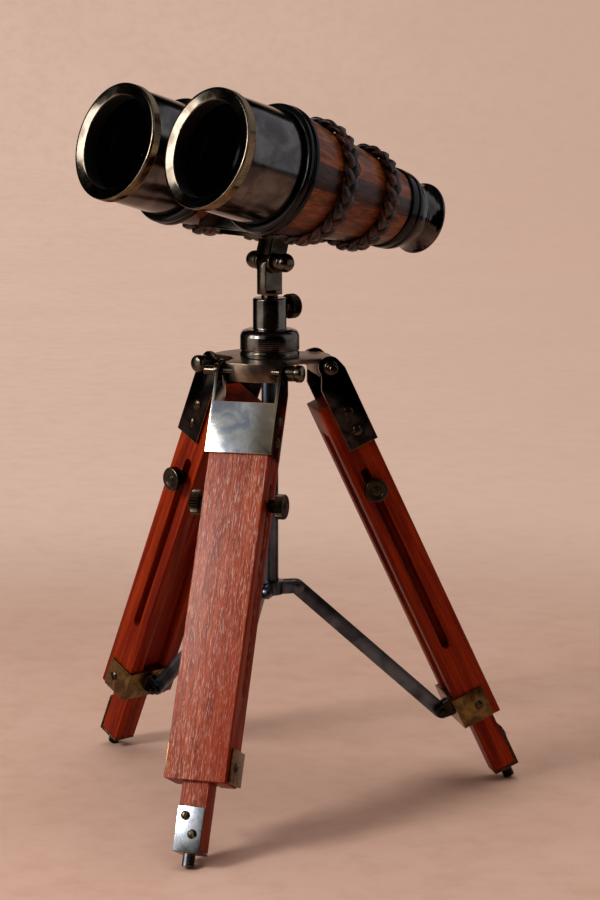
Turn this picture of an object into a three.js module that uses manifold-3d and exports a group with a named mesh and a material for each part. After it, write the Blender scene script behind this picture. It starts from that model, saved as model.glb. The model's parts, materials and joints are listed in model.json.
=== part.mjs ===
// Table-top field glasses on a wooden three-legged stand.
// Millimetres, +Z up. The origin is on the ground in the middle of the whole outline,
// and leg 1 points to -Y. The glasses are swivelled and raised a little, as in use.
import * as THREE from 'three';
import { mergeVertices } from 'three/addons/utils/BufferGeometryUtils.js';
import Module from 'manifold-3d';

const wasm = await Module();
wasm.setup();

// ---- driving dimensions -------------------------------------------------------------

const GAP = 0.3; // clearance between neighbouring pieces
const LEGS = 3;
const ROD_Y = 19.716; // the centre rod stands this far behind the middle of the outline

// stand head
const HINGE_RADIUS = 24.6;
const HINGE_HEIGHT = 202.75;
const PLATE_TOP = 206.6;
const PLATE_THICK = 2.4;
const LOBE_WIDTH = 26.8;
const LOBE_BOTTOM = 198.3;
const STEM_RADIUS = 13.6;
const STEM_SHOULDER = 219.3;
const SOCKET_RADIUS = 7.7;
const SOCKET_TOP = 233.6;
const SPIGOT_RADIUS = 3.8;
const SPIGOT_BOTTOM = 213;
const ROD_RADIUS = 3.85;
const ROD_BOTTOM = 96.4;
const LOCK_HEIGHT = 228.6;
const HINGE_BOLT_RADIUS = 2;

// legs: t across the leg, u outward from the hinge line, l down along the leg
const LEG_SPREAD = THREE.MathUtils.degToRad(25.14);
const LEG_HALF = 13.8;
const WOOD_OUT = 4.9;
const WOOD_IN = -12.7;
const WOOD_TOP = 17;
const WOOD_BOTTOM = 185.3;
const CHANNEL_HALF = 6.5;
const CHANNEL_FLOOR = 2.4;
const STRAP_THICK = 1.2;
const BRACKET_BOTTOM = 39.5;
const STRAP_FRONT = 1.3; // the lower strap stops short of the wood's outer face
const SLOT_TOP = 50;
const SLOT_BOTTOM = 146;
const SLOT_WIDTH = 4.2;
const CLAMP_U = -5.4;
const CLAMP_L = 60;
const CLAMP_SHANK = 1.7;
const KNOB_RADIUS = 5.6;
const SLIDER_HALF = 6.1;
const SLIDER_IN = -8.9;
const SLIDER_TOP = 50.5;
const SLIDER_BOTTOM = 214.6;
const FOOT_PLATE_TOP = 196.2;
const FOOT_PLATE_THICK = 1.1;
const FOOT_RADIUS = 2.7;
const FOOT_U = -2.3;

// spreader
const HUB_HEIGHT = 98.6;
const HUB_ARM = 12.6;
const BRACE_THICK = 1.7;
const BRACE_WIDTH = 7;
const BRACE_PIVOT_U = -19;
const BRACE_PIVOT_L = 176.5;
const BRACE_PIN = 1.5;

// glasses
const SWIVEL = THREE.MathUtils.degToRad(-31.4);
const TILT = THREE.MathUtils.degToRad(16.46);
const TILT_HEIGHT = 250.1;
const AXIS_RISE = 34.95; // optical axes above the tilt bolt
const AXIS_SHIFT = 10.3; // the stations below are measured from this far ahead of the bolt
const EYE_SPACING = 64;
const TUBE_RADIUS = 25.8;
const SHOULDER = 25.6; // station where the wooden barrel meets its front flange

// ---- materials ----------------------------------------------------------------------

const finish = (color, roughness, metalness) =>
  new THREE.MeshStandardMaterial({ color, roughness, metalness });
const GUNMETAL = () => finish(0x3a342e, 0.28, 0.9);
const BRONZE = () => finish(0x5a4630, 0.4, 0.85);
const BRASS = () => finish(0x8c6a35, 0.35, 0.9);
const STEEL = () => finish(0x30343a, 0.45, 0.8);
const SILVERED = () => finish(0xaeb3ba, 0.3, 0.85);
const BLACK = () => finish(0x101010, 0.25, 0.3);
const MAHOGANY = () => finish(0x7a3018, 0.4, 0);
const INLAY = () => finish(0x6e3415, 0.5, 0);
const CORD = () => finish(0x2a1a14, 0.65, 0);
const GLASS = () => finish(0x050507, 0.05, 0);

// ---- solids -------------------------------------------------------------------------

function toSolid(geometry) {
  const bare = geometry.clone();
  bare.deleteAttribute('normal');
  bare.deleteAttribute('uv');
  const merged = mergeVertices(bare, 1e-4);
  return new wasm.Manifold(new wasm.Mesh({
    numProp: 3,
    vertProperties: new Float32Array(merged.attributes.position.array),
    triVerts: new Uint32Array(merged.index.array),
  }));
}

function toGeometry(solid) {
  const mesh = solid.getMesh();
  const geometry = new THREE.BufferGeometry();
  geometry.setAttribute('position', new THREE.BufferAttribute(mesh.vertProperties, 3));
  geometry.setIndex(new THREE.BufferAttribute(mesh.triVerts, 1));
  return geometry;
}

const join = (...geometries) =>
  toGeometry(geometries.map(toSolid).reduce((sum, piece) => sum.add(piece)));
const cut = (base, ...tools) =>
  toGeometry(tools.map(toSolid).reduce((rest, tool) => rest.subtract(tool), toSolid(base)));

function box(x0, x1, y0, y1, z0, z1) {
  const geometry = new THREE.BoxGeometry(x1 - x0, y1 - y0, z1 - z0);
  return geometry.translate((x0 + x1) / 2, (y0 + y1) / 2, (z0 + z1) / 2);
}

// a turned solid about Z; points are [radius, z] and are closed onto the axis or themselves
function turned(points, segments = 24) {
  const profile = points.map(([r, z]) => new THREE.Vector2(r, z));
  if (THREE.ShapeUtils.area(profile) < 0) {
    profile.reverse();
  }
  const onAxis = points[0][0] === 0 && points.at(-1)[0] === 0;
  if (!onAxis) {
    profile.push(profile[0].clone());
  }
  return new THREE.LatheGeometry(profile, segments).rotateX(Math.PI / 2);
}

const rod = (radius, z0, z1, segments = 16) =>
  turned([[0, z0], [radius, z0], [radius, z1], [0, z1]], segments);

const alongX = (geometry) => geometry.rotateY(Math.PI / 2);

// a turned piece whose stations run backwards along +Y, as the optical axis does
const alongAxis = (geometry) => geometry.rotateX(Math.PI / 2);

function rodX(radius, x0, x1, y, z, segments = 14) {
  return alongX(rod(radius, x0, x1, segments)).translate(0, y, z);
}

// a knurled head: a ring of shallow teeth round an axis along Z
function knurled(radius, z0, z1, teeth = 14) {
  const shape = new THREE.Shape();
  const depth = radius * 0.07;
  for (let i = 0; i < 2 * teeth; i += 1) {
    const angle = (Math.PI * i) / teeth;
    const r = radius - (i % 2) * depth;
    const point = [r * Math.cos(angle), r * Math.sin(angle)];
    if (i === 0) shape.moveTo(...point);
    else shape.lineTo(...point);
  }
  shape.closePath();
  return new THREE.ExtrudeGeometry(shape, { depth: z1 - z0, bevelEnabled: false }).translate(0, 0, z0);
}

function piece(name, geometry, material) {
  const mesh = new THREE.Mesh(geometry, material);
  mesh.name = name;
  return mesh;
}

// ---- leg frame helpers: x = t, y = -u, z = -l ----------------------------------------

const legBox = (t0, t1, u0, u1, l0, l1) => box(t0, t1, -u1, -u0, -l1, -l0);
const legRod = (radius, t0, t1, u, l, segments = 14) => rodX(radius, t0, t1, -u, -l, segments);

// a plate across the leg, from t0 to t1, whose outline is drawn in (u, l)
function legPlate(shape, t0, t1) {
  const plate = new THREE.ExtrudeGeometry(shape, { depth: t1 - t0, bevelEnabled: false, curveSegments: 5 });
  const basis = new THREE.Matrix4().makeBasis(
    new THREE.Vector3(0, -1, 0), new THREE.Vector3(0, 0, -1), new THREE.Vector3(1, 0, 0));
  return plate.applyMatrix4(basis).translate(t0, 0, 0);
}

// ---- stand head ---------------------------------------------------------------------

function headPlate() {
  const disc = rod(17.5, PLATE_TOP - PLATE_THICK, PLATE_TOP, 24);
  const parts = [disc];
  for (let k = 0; k < LEGS; k += 1) {
    const turn = (2 * Math.PI * k) / LEGS;
    const tip = HINGE_RADIUS + 3.6;
    const arm = box(-LOBE_WIDTH / 2, LOBE_WIDTH / 2, -tip, 0, PLATE_TOP - PLATE_THICK, PLATE_TOP);
    const rounding = rod(tip, PLATE_TOP - 20, PLATE_TOP + 5, 48);
    const block = box(-LOBE_WIDTH / 2, LOBE_WIDTH / 2, -tip, -HINGE_RADIUS + 4.2, LOBE_BOTTOM, PLATE_TOP - 1);
    const lobe = toGeometry(toSolid(join(arm, block)).intersect(toSolid(rounding)));
    parts.push(lobe.rotateZ(turn));
  }
  const bores = [];
  for (let k = 0; k < LEGS; k += 1) {
    const bore = rodX(HINGE_BOLT_RADIUS + GAP / 2, -20, 20, -HINGE_RADIUS, HINGE_HEIGHT);
    bores.push(bore.rotateZ((2 * Math.PI * k) / LEGS));
  }
  return cut(join(...parts), ...bores);
}

function stemBase() {
  const foot = PLATE_TOP + GAP;
  const body = turned([
    [0, foot], [STEM_RADIUS, foot], [STEM_RADIUS, foot + 2.4], [STEM_RADIUS - 0.5, foot + 2.8],
    [STEM_RADIUS, foot + 3.2], [STEM_RADIUS, STEM_SHOULDER - 3.2], [STEM_RADIUS - 0.9, STEM_SHOULDER - 1],
    [STEM_RADIUS - 3.2, STEM_SHOULDER], [SOCKET_RADIUS, STEM_SHOULDER + 0.2],
    [SOCKET_RADIUS, SOCKET_TOP - 0.6], [SOCKET_RADIUS - 0.6, SOCKET_TOP], [0, SOCKET_TOP],
  ], 28);
  const bore = rod(SPIGOT_RADIUS + GAP / 2, SPIGOT_BOTTOM - GAP, SOCKET_TOP + 1);
  const lockHole = alongY(rod(1.6, 0, 20, 12), LOCK_HEIGHT).rotateZ(SWIVEL);
  return cut(body, bore, lockHole);
}

// a Z-turned piece laid along +Y at a height
function alongY(geometry, z) {
  return geometry.rotateX(-Math.PI / 2).translate(0, 0, z);
}

function lockScrew() {
  const start = SPIGOT_RADIUS + GAP;
  const stud = rod(1.4, start, 10, 12);
  const boss = rod(3.2, SOCKET_RADIUS + GAP, 10.6, 14);
  const head = knurled(5.7, 10.4, 15.2);
  return alongY(join(stud, boss, head), LOCK_HEIGHT).rotateZ(SWIVEL);
}

const centreRod = () => rod(ROD_RADIUS, ROD_BOTTOM, PLATE_TOP - PLATE_THICK - GAP / 2, 20);

// the bolt through one lobe, with its spacer nut and rounded end; along X
function hingeBolt() {
  const reach = LEG_HALF + GAP + STRAP_THICK;
  const shank = rod(HINGE_BOLT_RADIUS, -reach - 7.6, reach + 1, 14);
  const head = turned([
    [0, reach + GAP], [3.6, reach + GAP], [3.6, reach + 4.2], [3.3, reach + 4.5], [3.9, reach + 4.9],
    [3.9, reach + 7.4], [3.1, reach + 8.4], [0, reach + 8.8],
  ], 16);
  const nut = rod(3.3, -reach - 2.6, -reach - GAP, 6);
  return alongX(join(shank, head, nut));
}

// ---- legs ---------------------------------------------------------------------------

function bracketOutline() {
  const [inner, outer, bottom] = [-8, WOOD_OUT + GAP + STRAP_THICK, BRACKET_BOTTOM];
  const shape = new THREE.Shape();
  shape.moveTo(inner, bottom);
  shape.lineTo(inner, 8);
  shape.lineTo(-4.9, 1.6);
  shape.absarc(0, 0, 5.2, Math.PI * 0.9, Math.PI * 1.9, false);
  shape.lineTo(outer, 3);
  shape.lineTo(outer, bottom);
  shape.closePath();
  return shape;
}

function legBracket() {
  const inside = LEG_HALF + GAP;
  const outside = inside + STRAP_THICK;
  const face = WOOD_OUT + GAP;
  const bore = legRod(HINGE_BOLT_RADIUS + GAP / 2, -20, 20, 0, 0);
  const strap = join(
    legPlate(bracketOutline(), -outside, -inside),
    legPlate(bracketOutline(), inside, outside),
    legBox(-outside, outside, face, face + STRAP_THICK, WOOD_TOP - 1, BRACKET_BOTTOM),
  );
  return cut(strap, bore);
}

function clampSlot(t0, t1) {
  const radius = SLOT_WIDTH / 2;
  const [top, bottom] = [SLOT_TOP + radius, SLOT_BOTTOM - radius];
  return join(
    legBox(t0, t1, CLAMP_U - radius, CLAMP_U + radius, top, bottom),
    legRod(radius, t0, t1, CLAMP_U, top, 12),
    legRod(radius, t0, t1, CLAMP_U, bottom, 12),
  );
}

function outerLeg() {
  const board = legBox(-LEG_HALF, LEG_HALF, WOOD_IN, WOOD_OUT, WOOD_TOP, WOOD_BOTTOM);
  const channel = legBox(-CHANNEL_HALF, CHANNEL_HALF, WOOD_IN - 1, CHANNEL_FLOOR, WOOD_TOP + 14, WOOD_BOTTOM + 1);
  return cut(board, channel, clampSlot(-LEG_HALF - 1, LEG_HALF + 1));
}

function innerLeg() {
  const bar = legBox(-SLIDER_HALF, SLIDER_HALF, SLIDER_IN, CHANNEL_FLOOR - GAP, SLIDER_TOP, SLIDER_BOTTOM);
  return cut(bar, legRod(CLAMP_SHANK + GAP / 2 + 0.05, -10, 10, CLAMP_U, CLAMP_L));
}

// the lowest point of the slanted peg stands on the ground
const FOOT_END = (HINGE_HEIGHT + (FOOT_U - FOOT_RADIUS) * Math.sin(LEG_SPREAD)) / Math.cos(LEG_SPREAD);

function foot() {
  const [face, end] = [CHANNEL_FLOOR + FOOT_PLATE_THICK, SLIDER_BOTTOM + 1.4];
  const plate = legBox(-SLIDER_HALF, SLIDER_HALF, CHANNEL_FLOOR, face, FOOT_PLATE_TOP, end);
  const sole = legBox(-SLIDER_HALF, SLIDER_HALF, SLIDER_IN, face, SLIDER_BOTTOM + GAP, end);
  const peg = rod(FOOT_RADIUS, -FOOT_END, -SLIDER_BOTTOM - 1, 16).translate(0, -FOOT_U, 0);
  return join(plate, sole, peg);
}

function clampScrew() {
  const cheek = LEG_HALF + GAP;
  const shank = rod(CLAMP_SHANK, -cheek - 5, cheek + 1, 12);
  const boss = rod(3, cheek, cheek + 3.6, 14);
  const head = knurled(KNOB_RADIUS, cheek + 3.4, cheek + 7.8);
  return alongX(join(shank, boss, head)).translate(0, -CLAMP_U, -CLAMP_L);
}

function clampNut() {
  const cheek = LEG_HALF + GAP;
  const boss = rod(3, -cheek - 3.6, -cheek, 14);
  const head = knurled(KNOB_RADIUS, -cheek - 7.8, -cheek - 3.4);
  const bore = rod(CLAMP_SHANK + GAP / 2, -cheek - 5.3, 0, 12);
  return alongX(cut(join(boss, head), bore)).translate(0, -CLAMP_U, -CLAMP_L);
}

// the strap round the lower end, with the ears and pin that carry the brace
function legStrap() {
  const inside = LEG_HALF + GAP;
  const outside = inside + STRAP_THICK;
  const back = WOOD_IN - GAP;
  const [top, bottom] = [169.6, 184.6];
  const gapHalf = BRACE_THICK / 2 + GAP;
  const ear = new THREE.Shape();
  ear.moveTo(back, BRACE_PIVOT_L - 4);
  ear.lineTo(BRACE_PIVOT_U, BRACE_PIVOT_L - 3);
  ear.absarc(BRACE_PIVOT_U, BRACE_PIVOT_L, 3, -Math.PI / 2, Math.PI / 2, true);
  ear.lineTo(back, BRACE_PIVOT_L + 4);
  ear.closePath();
  return join(
    legBox(-outside, -inside, back - STRAP_THICK, STRAP_FRONT, top, bottom),
    legBox(inside, outside, back - STRAP_THICK, STRAP_FRONT, top, bottom),
    legBox(-outside, outside, back - STRAP_THICK, back, top, bottom),
    legPlate(ear, -gapHalf - 2.4, -gapHalf),
    legPlate(ear, gapHalf, gapHalf + 2.4),
    legRod(BRACE_PIN, -gapHalf - 4.4, gapHalf + 4.4, BRACE_PIVOT_U, BRACE_PIVOT_L, 12),
  );
}

// ---- spreader -----------------------------------------------------------------------

// the brace's two pivots in the plane of leg 1, as [outward radius, height]
const LOWER_PIVOT = [
  HINGE_RADIUS + BRACE_PIVOT_L * Math.sin(LEG_SPREAD) + BRACE_PIVOT_U * Math.cos(LEG_SPREAD),
  HINGE_HEIGHT - BRACE_PIVOT_L * Math.cos(LEG_SPREAD) + BRACE_PIVOT_U * Math.sin(LEG_SPREAD),
];
const UPPER_PIVOT = [HUB_ARM, HUB_HEIGHT];

function brace() {
  const run = LOWER_PIVOT[0] - UPPER_PIVOT[0];
  const rise = UPPER_PIVOT[1] - LOWER_PIVOT[1];
  const length = Math.hypot(run, rise);
  const half = BRACE_WIDTH / 2;
  const shape = new THREE.Shape();
  shape.absarc(0, 0, half, Math.PI, 2 * Math.PI, false);
  shape.absarc(0, length, half, 0, Math.PI, false);
  shape.closePath();
  const hole = new THREE.Path();
  hole.absarc(0, 0, BRACE_PIN + GAP / 2, 0, 2 * Math.PI, true);
  shape.holes.push(hole);
  const bar = new THREE.ExtrudeGeometry(shape, { depth: BRACE_THICK, bevelEnabled: false, curveSegments: 5 });
  const basis = new THREE.Matrix4().makeBasis(
    new THREE.Vector3(0, 1, 0), new THREE.Vector3(0, 0, 1), new THREE.Vector3(1, 0, 0));
  bar.applyMatrix4(basis).translate(-BRACE_THICK / 2, 0, 0);
  bar.rotateX(-Math.atan2(run, rise));
  return bar.translate(0, -LOWER_PIVOT[0], LOWER_PIVOT[1]);
}

// a sleeve on the centre rod with three forks; the forks stay clear of the brace ends
function spiderHub() {
  const sleeve = rod(6.2, HUB_HEIGHT - 2.6, HUB_HEIGHT + 3.4, 20);
  const parts = [sleeve];
  const slot = BRACE_THICK / 2 + 0.5;
  for (let k = 0; k < LEGS; k += 1) {
    for (const side of [-1, 1]) {
      const [x0, x1] = side > 0 ? [slot, slot + 1.9] : [-slot - 1.9, -slot];
      const rivet = side > 0 ? [x1 - 0.5, x1 + 1] : [x0 - 1, x0 + 0.5];
      const cheek = join(
        box(x0, x1, -HUB_ARM, -4.6, HUB_HEIGHT - 2.6, HUB_HEIGHT + 3.2),
        rodX(2.9, x0, x1, -HUB_ARM, HUB_HEIGHT + 0.3, 14),
        rodX(BRACE_PIN, ...rivet, -HUB_ARM, HUB_HEIGHT, 14),
      );
      parts.push(cheek.rotateZ((2 * Math.PI * k) / LEGS));
    }
  }
  return cut(join(...parts), rod(ROD_RADIUS + GAP / 2, HUB_HEIGHT - 9, HUB_HEIGHT + 9, 20));
}

// ---- swivel and yoke ----------------------------------------------------------------

const TONGUE_HALF = 3.2;
const TILT_SHANK = 1.7;

function swivelPost() {
  const spigot = rod(SPIGOT_RADIUS, SPIGOT_BOTTOM, 236, 20);
  const bar = rod(5.8, 235.2, 256, 24);
  const top = rodX(5.9, -8, 8, 0, TILT_HEIGHT - 3.2, 24);
  const below = box(-8, 8, -8, 8, 230, TILT_HEIGHT - 3.2);
  const rounded = toGeometry(toSolid(bar).intersect(toSolid(join(top, below))));
  const flats = [-1, 1].map((side) => {
    const [x0, x1] = side > 0 ? [TONGUE_HALF, 9] : [-9, -TONGUE_HALF];
    return box(x0, x1, -9, 9, 237.2, 262);
  });
  const bore = rodX(TILT_SHANK + GAP / 2 + 0.05, -9, 9, 0, TILT_HEIGHT, 14);
  return cut(join(spigot, rounded), ...flats, bore);
}

const EAR_IN = TONGUE_HALF + GAP;
const EAR_OUT = EAR_IN + 1.6;
const YOKE_PLATE = 10.8; // underside of the yoke's saddle above the bolt
const SADDLE_SLOPE = THREE.MathUtils.degToRad(10.5); // the saddle climbs towards the eyepieces
const SADDLE_THICK = 2.2;

function tiltBolt() {
  const shank = rod(TILT_SHANK, -EAR_OUT - 2, EAR_OUT + 6, 12);
  const head = turned([
    [0, -EAR_OUT - 8.9], [2.2, -EAR_OUT - 8.5], [3.7, -EAR_OUT - 7.1], [4.1, -EAR_OUT - 5.2],
    [4.1, -EAR_OUT - GAP], [0, -EAR_OUT - GAP],
  ], 16);
  return alongX(join(shank, head));
}

function tiltKnob() {
  const head = turned([
    [0, EAR_OUT + GAP], [4.3, EAR_OUT + GAP], [4.3, EAR_OUT + 6.2], [3.8, EAR_OUT + 7.9],
    [2.2, EAR_OUT + 8.9], [0, EAR_OUT + 9.2],
  ], 16);
  return alongX(cut(head, rod(TILT_SHANK + GAP / 2, 0, EAR_OUT + 6.3, 12)));
}

// lifts what was drawn on the saddle's underside to its sloping place over the bolt
const onSaddle = (geometry) => geometry.rotateX(SADDLE_SLOPE).translate(0, 0, YOKE_PLATE);

// the flat saddle under the barrels, with a screw hole in its rounded rear end
function saddle() {
  const [half, front, waist, rear, hole] = [14.4, -20.5, 15, 32.7, 4];
  const shape = new THREE.Shape();
  shape.moveTo(-half, front);
  shape.lineTo(half, front);
  shape.lineTo(half, waist);
  shape.absarc(0, rear, 9.5, 0, Math.PI, false);
  shape.lineTo(-half, waist);
  shape.closePath();
  const bore = new THREE.Path();
  bore.absarc(0, rear, hole, 0, 2 * Math.PI, true);
  shape.holes.push(bore);
  const plate = new THREE.ExtrudeGeometry(shape, { depth: SADDLE_THICK, bevelEnabled: false });
  return onSaddle(plate);
}

function yoke() {
  const [halfDepth, eye] = [4.6, 5.2];
  const above = onSaddle(box(-20, 20, -20, 20, SADDLE_THICK / 2, 20));
  const parts = [saddle()];
  for (const [x0, x1] of [[-EAR_OUT, -EAR_IN], [EAR_IN, EAR_OUT]]) {
    parts.push(cut(box(x0, x1, -halfDepth, halfDepth, -1, YOKE_PLATE + 5), above.clone()));
    parts.push(rodX(eye, x0, x1, 0, 0, 20));
  }
  const bore = rodX(TILT_SHANK + GAP / 2, -9, 9, 0, 0, 12);
  return cut(join(...parts), bore);
}

// ---- one barrel of the glasses: stations count forward from the stand's axis ----------

const barrelRadius = (station) => 23.9 + (station - 1) * 0.142;

function barrelBody() {
  const wall = 3;
  const [front, middle, back] = [SHOULDER, -10, -42];
  const spigot = [25.7, front + 2.8];
  return alongAxis(turned([
    spigot, [spigot[0], front], [barrelRadius(front), front], [barrelRadius(middle), middle],
    [barrelRadius(back), back], [barrelRadius(back) - wall, back],
    [barrelRadius(middle) - wall, middle], [barrelRadius(front) - wall, front],
    [barrelRadius(front) - wall, spigot[1]],
  ], 28));
}

function barrelFlange() {
  const [front, rear] = [32.4, SHOULDER + GAP];
  return alongAxis(turned([
    [26.1, rear], [28.7, rear], [29.1, rear + 0.6], [29.1, rear + 2.2], [28.3, rear + 2.7],
    [28.3, rear + 3.3], [29, rear + 3.8], [28.9, front - 1.4], [27.8, front - 0.3], [26.1, front],
  ], 28));
}

function objectiveTube() {
  return alongAxis(turned([[TUBE_RADIUS, 29], [TUBE_RADIUS, 61], [24.2, 61], [24.2, 29]], 28));
}

function objectiveRing() {
  return alongAxis(turned([
    [26.7, 61.3], [26.7, 64.6], [26.3, 64.9], [26.8, 65.3], [26.6, 66.2], [25.4, 66.7], [22, 66.1],
    [21.3, 65.4], [21.3, 58.4], [23.9, 58.4], [23.9, 61.3],
  ], 28));
}

function objectiveLens() {
  return alongAxis(turned([
    [0, 54.4], [23.8, 54.4], [23.8, 57.4], [16, 58.6], [8, 59.3], [0, 59.5],
  ], 24));
}

function eyepieceCollar() {
  return alongAxis(turned([
    [14.3, -42.3], [18.2, -42.3], [18.6, -43.4], [18.6, -46], [17.9, -46.5], [17.9, -47.4],
    [18.3, -48], [17.5, -51.4], [16.6, -52.2], [14.3, -52.2],
  ], 24));
}

function eyecup() {
  return alongAxis(turned([
    [13.9, -38], [13.9, -55.2], [14.8, -55.6], [15, -57.4], [13.9, -58.6], [14.4, -61], [15.7, -64],
    [16.4, -65], [16.4, -66], [15.2, -66.2], [12.9, -62.6], [11.5, -58.6], [12.2, -57.6], [12.2, -38],
  ], 24));
}

function eyeLens() {
  return alongAxis(turned([[0, -52.5], [11.9, -52.5], [11.9, -54.8], [7, -56.2], [0, -56.8]], 20));
}

const CORDS = [[4.4, 9], [-26, 8.4]];
const CORD_RISE = 2.2;
const cordSeat = (station, width) => barrelRadius(station) + 0.5 + width * 0.08;

// a plain band stands for the plaited cord that is tied round the barrel
function cordBand(station, width) {
  const radius = cordSeat(station, width);
  return alongAxis(turned([
    [radius, station - width / 2], [radius, station + width / 2], [radius + 1.6, station + width / 2 - 1],
    [radius + CORD_RISE, station], [radius + 1.6, station - width / 2 + 1],
  ], 24));
}

// ---- what joins the barrels ----------------------------------------------------------

// the room the two barrels and their cords need
function barrelRoom() {
  const tools = [];
  for (const side of [-1, 1]) {
    const shift = (side * EYE_SPACING) / 2;
    const cone = alongAxis(turned([
      [0, 30], [barrelRadius(30) + GAP, 30], [barrelRadius(-60) + GAP, -60], [0, -60],
    ], 28));
    tools.push(cone.translate(shift, 0, 0));
    for (const [station, width] of CORDS) {
      const reach = width / 2 + GAP;
      const ring = rod(cordSeat(station, width) + CORD_RISE + GAP, station - reach, station + reach, 28);
      tools.push(alongAxis(ring).translate(shift, 0, 0));
    }
  }
  return tools;
}

const SHAFT_RADIUS = 2.6;

// a web between the barrels that rests on the saddle, bored for the focus shaft
function bridge(front, back, halfWidth, top) {
  const web = box(-halfWidth, halfWidth, -front, -back, -AXIS_RISE, top);
  const bore = rod(SHAFT_RADIUS + GAP / 2, -90, 90, 14).rotateX(Math.PI / 2);
  const below = onSaddle(box(-60, 60, -60, 60, -60, SADDLE_THICK + GAP));
  return cut(web, ...barrelRoom(), bore, below.translate(0, AXIS_SHIFT, -AXIS_RISE));
}

// the shaft and its milled wheel turn together
function focusShaft() {
  const shaft = rod(SHAFT_RADIUS, -51.8, 21, 14);
  const wheel = knurled(6.6, -16, -8, 16);
  const stop = rod(4, 18.9, 21.2, 16);
  return alongAxis(join(shaft, wheel, stop));
}

// the bar across the two eyepieces that the focus shaft drives
function eyepieceBridge() {
  const [front, back] = [-52.6, -55];
  const parts = [box(-24, 24, -front, -back, -4.2, 4.2)];
  parts.push(rod(5.4, back, -52.6, 16).rotateX(Math.PI / 2));
  for (const side of [-1, 1]) {
    parts.push(rod(16, back, front, 24).rotateX(Math.PI / 2).translate((side * EYE_SPACING) / 2, 0, 0));
  }
  const bores = [-1, 1].map((side) =>
    rod(13.9 + GAP / 2, -70, -40, 24).rotateX(Math.PI / 2).translate((side * EYE_SPACING) / 2, 0, 0));
  return cut(join(...parts), ...bores);
}

// ---- assembly -----------------------------------------------------------------------

function assembleLeg(number) {
  const leg = new THREE.Group();
  leg.rotation.z = (2 * Math.PI * (number - 1)) / LEGS;
  const hinge = new THREE.Group();
  hinge.position.set(0, -HINGE_RADIUS, HINGE_HEIGHT);
  hinge.add(piece(`hinge_bolt_${number}`, hingeBolt(), BRONZE()));
  const limb = new THREE.Group();
  limb.rotation.x = -LEG_SPREAD;
  limb.add(
    piece(`leg_bracket_${number}`, legBracket(), SILVERED()),
    piece(`outer_leg_${number}`, outerLeg(), MAHOGANY()),
    piece(`leg_strap_${number}`, legStrap(), BRASS()),
    piece(`inner_leg_${number}`, innerLeg(), MAHOGANY()),
    piece(`foot_${number}`, foot(), SILVERED()),
    piece(`clamp_screw_${number}`, clampScrew(), STEEL()),
    piece(`clamp_nut_${number}`, clampNut(), STEEL()),
  );
  hinge.add(limb);
  leg.add(hinge, piece(`brace_${number}`, brace(), STEEL()));
  return leg;
}

function assembleBarrel(side, label) {
  const barrel = new THREE.Group();
  barrel.position.x = (side * EYE_SPACING) / 2;
  barrel.add(
    piece(`barrel_${label}`, barrelBody(), INLAY()),
    piece(`barrel_flange_${label}`, barrelFlange(), BLACK()),
    piece(`objective_tube_${label}`, objectiveTube(), GUNMETAL()),
    piece(`objective_ring_${label}`, objectiveRing(), BRASS()),
    piece(`objective_lens_${label}`, objectiveLens(), GLASS()),
    piece(`eyepiece_collar_${label}`, eyepieceCollar(), BLACK()),
    piece(`eyecup_${label}`, eyecup(), GUNMETAL()),
    piece(`eye_lens_${label}`, eyeLens(), GLASS()),
  );
  CORDS.forEach(([station, width], i) => {
    barrel.add(piece(`cord_band_${label}_${i + 1}`, cordBand(station, width), CORD()));
  });
  return barrel;
}

function assembleGlasses() {
  const swivel = new THREE.Group();
  swivel.rotation.z = SWIVEL;
  const tilt = new THREE.Group();
  tilt.position.z = TILT_HEIGHT;
  tilt.rotation.x = -TILT;
  tilt.add(
    piece('yoke', yoke(), BRONZE()),
    piece('tilt_bolt', tiltBolt(), BRONZE()),
    piece('tilt_knob', tiltKnob(), BRONZE()),
  );
  const optics = new THREE.Group();
  optics.position.set(0, -AXIS_SHIFT, AXIS_RISE);
  optics.add(
    assembleBarrel(1, 'right'),
    assembleBarrel(-1, 'left'),
    piece('front_bridge', bridge(18.6, 5, 20, 15), GUNMETAL()),
    piece('rear_bridge', bridge(-35, -40.5, 15.4, 9), GUNMETAL()),
    piece('focus_shaft', focusShaft(), BRASS()),
    piece('eyepiece_bridge', eyepieceBridge(), GUNMETAL()),
  );
  tilt.add(optics);
  swivel.add(piece('swivel_post', swivelPost(), BRONZE()), tilt);
  return swivel;
}

const stand = new THREE.Group();
stand.position.y = ROD_Y;
stand.add(
  piece('head_plate', headPlate(), BRONZE()),
  piece('stem_base', stemBase(), GUNMETAL()),
  piece('lock_screw', lockScrew(), STEEL()),
  piece('centre_rod', centreRod(), GUNMETAL()),
  piece('spider_hub', spiderHub(), STEEL()),
  assembleGlasses(),
);
for (let number = 1; number <= LEGS; number += 1) {
  stand.add(assembleLeg(number));
}

export default stand;
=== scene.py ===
"""Looks for the field glasses on their folding stand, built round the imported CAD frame.

Every piece is drawn in millimetres in a frame of its own: a leg's, the stand's, the yoke's or a
barrel's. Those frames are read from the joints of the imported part.
"""
import json
import math

import bmesh
import bpy
from mathutils import Matrix, Vector


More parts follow.
